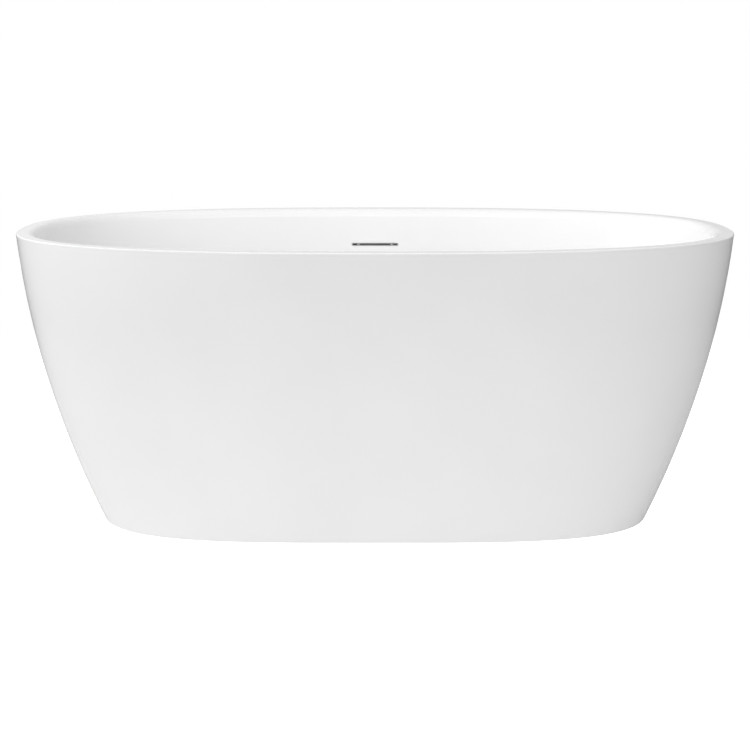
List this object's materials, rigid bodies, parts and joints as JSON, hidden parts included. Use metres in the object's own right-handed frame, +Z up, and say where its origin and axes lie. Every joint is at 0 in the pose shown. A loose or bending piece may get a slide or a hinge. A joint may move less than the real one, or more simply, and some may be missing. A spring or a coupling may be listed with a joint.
{
  "type": "freestanding bathtub",
  "caption": "Oval freestanding soaking tub with double walls tapering to a squarer foot, narrow flat rim, slot overflow in the long back wall and a push plug in the middle of its floor.",
  "frame": {"origin": "on the floor, under the middle of the tub (waste axis)", "axes": "+X along the length, +Y towards the long wall with the overflow, +Z up"},
  "size_m": [1.5, 0.75, 0.6],
  "materials": {
    "acrylic_white": "high gloss sanitary acrylic",
    "sealant": "cured adhesive",
    "plywood": "sealed plywood",
    "galvanised_steel": "galvanised",
    "zinc_plated_steel": "bright zinc plating",
    "stainless_steel": "stainless",
    "chrome": "polished chrome plating",
    "black_rubber": "moulded rubber",
    "black_plastic": "textured moulding",
    "white_plastic": "moulded, satin",
    "grey_hose": "flexible corrugated, satin"
  },
  "bodies": {
    "tub": {"base_board": "plywood", "basin_shell": "acrylic_white", "board_screws": "zinc_plated_steel", "bracket_screws": "zinc_plated_steel", "drain_strainer": "chrome", "drain_top_gasket": "black_rubber", "drain_under_gasket": "black_rubber", "foot_lock_nuts": "zinc_plated_steel", "foot_weld_nuts": "zinc_plated_steel", "frame_bolts": "zinc_plated_steel", "frame_cross_left": "galvanised_steel", "frame_cross_right": "galvanised_steel", "frame_nuts": "zinc_plated_steel", "frame_rail_back": "galvanised_steel", "frame_rail_front": "galvanised_steel", "hose_clamp_lower": "stainless_steel", "hose_clamp_upper": "stainless_steel", "outer_shell": "acrylic_white", "outlet_nut": "white_plastic", "overflow_box": "white_plastic", "overflow_gasket": "black_rubber", "overflow_hose": "grey_hose", "overflow_screws": "stainless_steel", "overflow_trim": "chrome", "plug_cartridge": "chrome", "rim_adhesive": "sealant", "skirt_bracket_back_left": "galvanised_steel", "skirt_bracket_back_right": "galvanised_steel", "skirt_bracket_front_left": "galvanised_steel", "skirt_bracket_front_right": "galvanised_steel", "slip_washer": "black_rubber", "tailpiece": "chrome", "tube_end_caps": "black_plastic", "waste_body": "white_plastic"},
    "plug": {"plug_cap": "chrome", "plug_seal": "black_rubber", "plug_stem": "chrome"},
    "foot_front_left": {"foot_rod_front_left": "zinc_plated_steel", "foot_pad_front_left": "black_plastic"},
    "foot_back_left": {"foot_rod_back_left": "zinc_plated_steel", "foot_pad_back_left": "black_plastic"},
    "foot_front_right": {"foot_rod_front_right": "zinc_plated_steel", "foot_pad_front_right": "black_plastic"},
    "foot_back_right": {"foot_rod_back_right": "zinc_plated_steel", "foot_pad_back_right": "black_plastic"}
  },
  "joints": [
    {"name": "plug_travel", "type": "slide", "parent": "tub", "child": "plug", "axis": [0, 0, 1], "range_m": [0, 0.008]},
    {"name": "foot_front_left_height", "type": "slide", "parent": "tub", "child": "foot_front_left", "axis": [0, 0, -1], "range_m": [-0.01, 0.02]},
    {"name": "foot_back_left_height", "type": "slide", "parent": "tub", "child": "foot_back_left", "axis": [0, 0, -1], "range_m": [-0.01, 0.02]},
    {"name": "foot_front_right_height", "type": "slide", "parent": "tub", "child": "foot_front_right", "axis": [0, 0, -1], "range_m": [-0.01, 0.02]},
    {"name": "foot_back_right_height", "type": "slide", "parent": "tub", "child": "foot_back_right", "axis": [0, 0, -1], "range_m": [-0.01, 0.02]}
  ]
}
